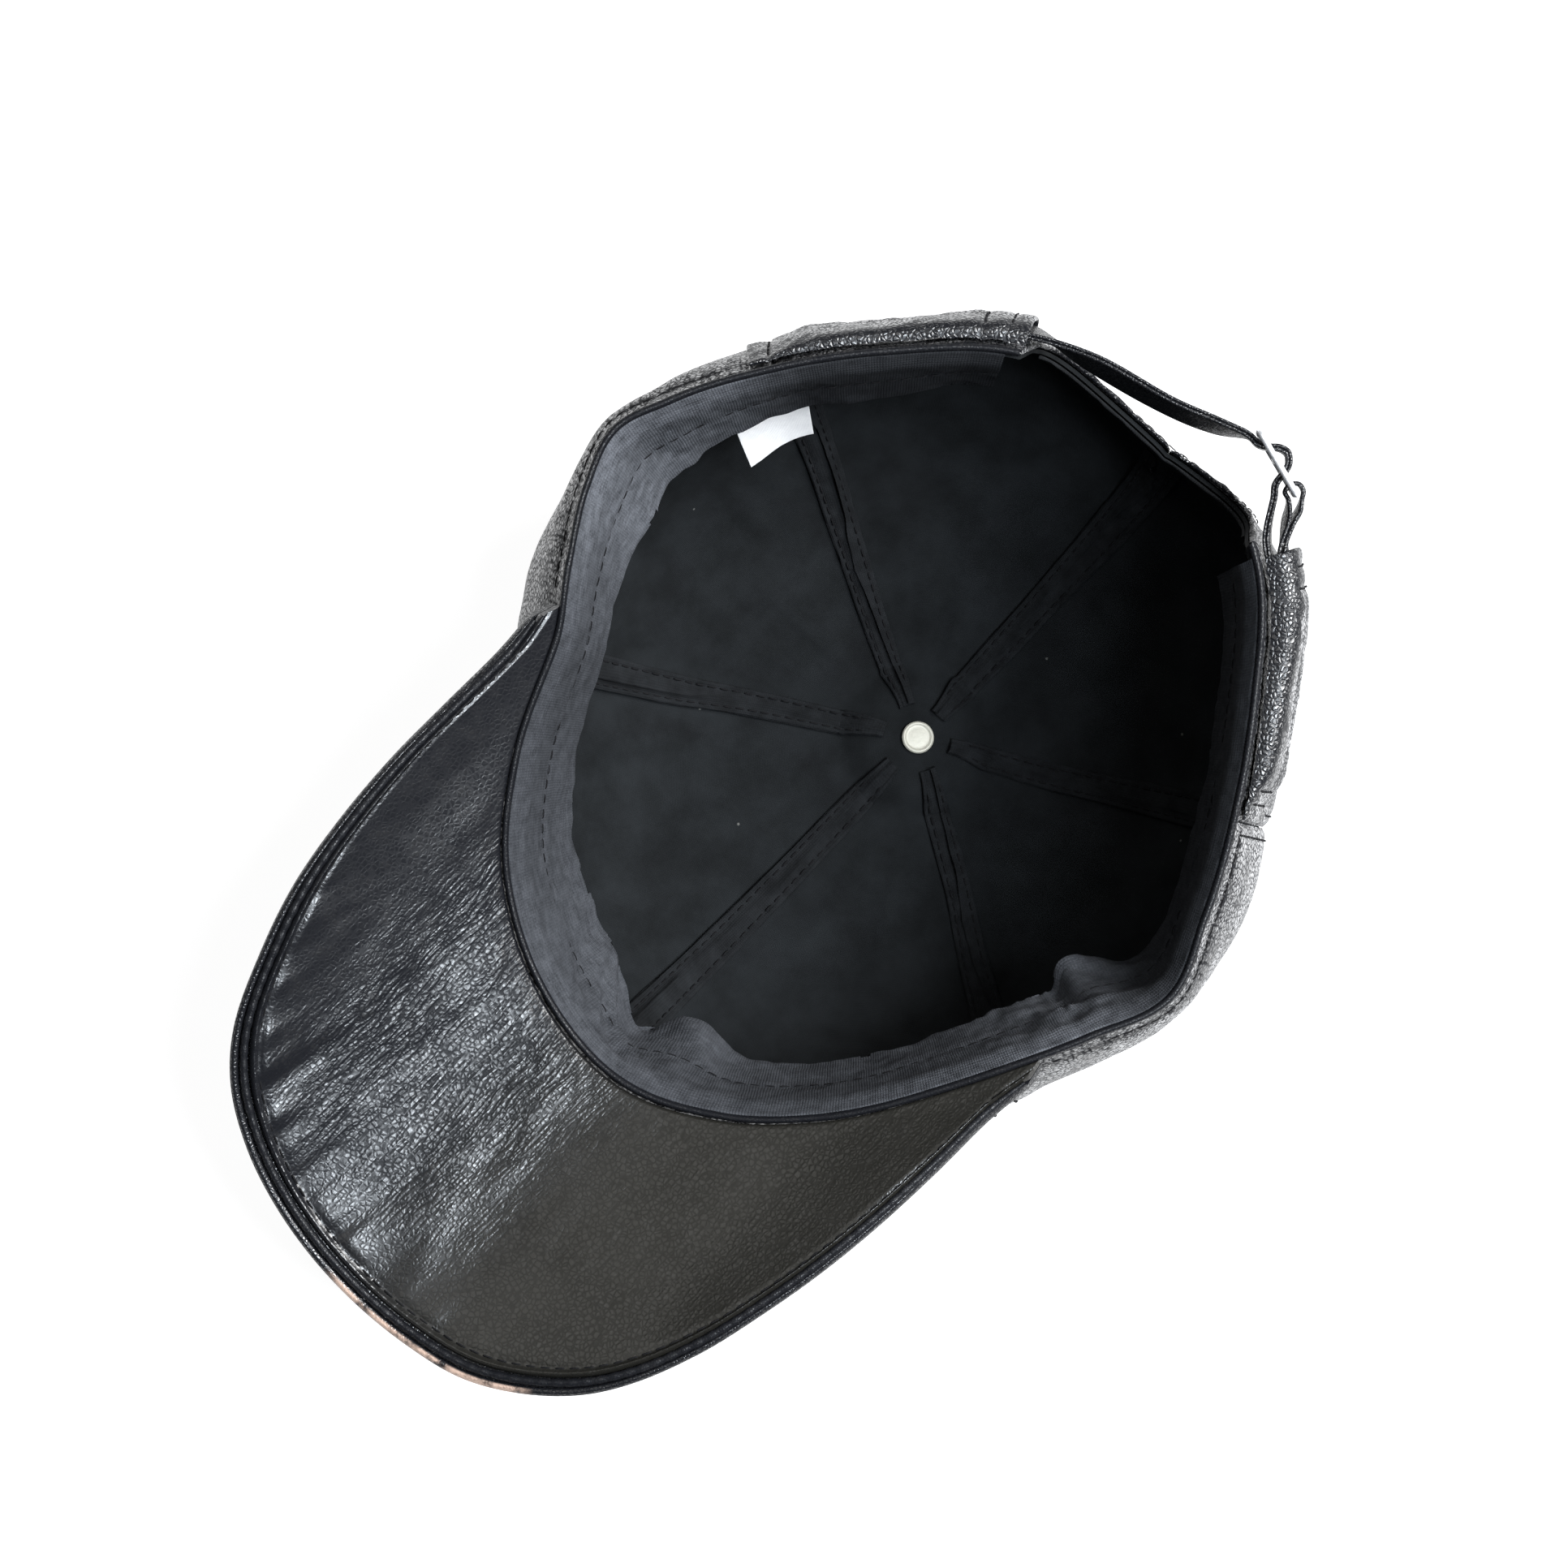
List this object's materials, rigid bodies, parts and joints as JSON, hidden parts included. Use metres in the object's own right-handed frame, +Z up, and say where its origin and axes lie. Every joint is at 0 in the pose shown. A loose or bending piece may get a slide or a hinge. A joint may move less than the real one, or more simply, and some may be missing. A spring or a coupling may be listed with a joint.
{
  "type": "baseball cap",
  "caption": "Leather baseball cap lying on its crown: a rounded panelled crown, arched peak, sweatband and a back opening with a buckled strap",
  "frame": {"origin": "on the floor under the middle of the cap's overall box", "axes": "+Z up, out of the hollow; the peak points to -Y and the back opening faces +Y; +X is to the right seen from above with the peak towards the viewer"},
  "size_m": [0.1868, 0.2796, 0.1264],
  "materials": {
    "panel_leather": "near-black pebbled leather, soft sheen",
    "peak_leather": "near-black pebbled leather with fine creases and a cool sheen",
    "strap_leather": "smooth near-black leather",
    "lining_cloth": "dark slate woven cloth",
    "tape_cloth": "slate woven tape, double stitched",
    "band_cloth": "slate grey twill",
    "buckle_metal": "bright polished metal",
    "rivet_metal": "pale nickel with a cream tone",
    "label_cloth": "white satin ribbon, bare"
  },
  "bodies": {
    "root": {"panel_front_left": "panel_leather", "panel_front_right": "panel_leather", "panel_side_left": "panel_leather", "panel_side_right": "panel_leather", "panel_back_left": "panel_leather", "panel_back_right": "panel_leather", "lining": "lining_cloth", "tape_front": "tape_cloth", "tape_front_left": "tape_cloth", "tape_front_right": "tape_cloth", "tape_back_left": "tape_cloth", "tape_back_right": "tape_cloth", "tape_back": "tape_cloth", "arch_tape": "tape_cloth", "sweatband": "band_cloth", "rim_hem": "panel_leather", "peak_lower": "peak_leather", "peak_upper": "panel_leather", "sleeve_left": "panel_leather", "sleeve_right": "panel_leather", "strap": "strap_leather", "buckle_tab": "strap_leather", "buckle": "buckle_metal", "button_cover": "panel_leather", "button_rivet": "rivet_metal", "care_label": "label_cloth"}
  },
  "joints": []
}
